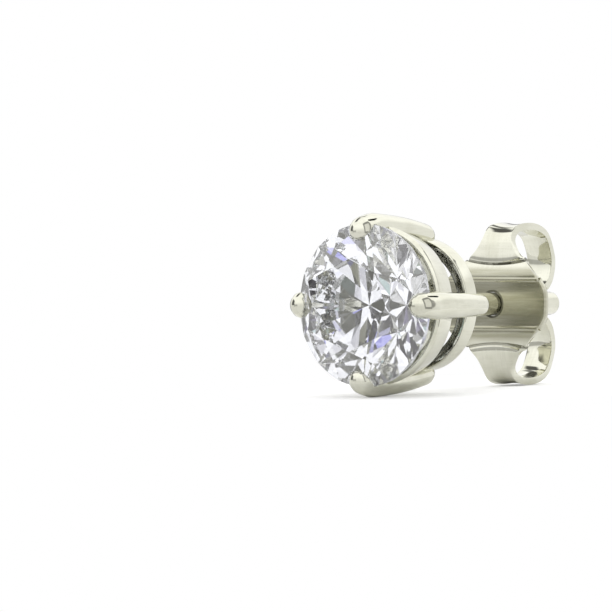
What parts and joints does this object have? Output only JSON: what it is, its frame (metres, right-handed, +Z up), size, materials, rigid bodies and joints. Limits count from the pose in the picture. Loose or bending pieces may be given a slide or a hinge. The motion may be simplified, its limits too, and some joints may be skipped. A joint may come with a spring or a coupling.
{
  "type": "stud earring",
  "caption": "Stud earring: a round brilliant stone in a claw basket with gallery rings, a straight post and a butterfly nut that slides on it.",
  "frame": {"origin": "bottom centre of the earring's box, on the surface that it lies on", "axes": "+Z up, +Y back along the post (the post leans 2.4 degrees down towards +Y, as the earring rests), the stone's table faces -Y, +X to one side"},
  "size_m": [0.0074, 0.0134, 0.0073],
  "materials": {
    "stone": "clear colourless stone, polished facets",
    "white_gold": "mirror-polished white gold, faintly warm"
  },
  "bodies": {
    "setting": {"claw_basket": "white_gold", "stone": "stone"},
    "nut": {"butterfly_nut": "white_gold"}
  },
  "joints": [
    {"name": "nut_slide", "type": "slide", "parent": "setting", "child": "nut", "axis": [0, 0.9991, -0.0426], "range_m": [-0.0037, 0.0034]}
  ]
}
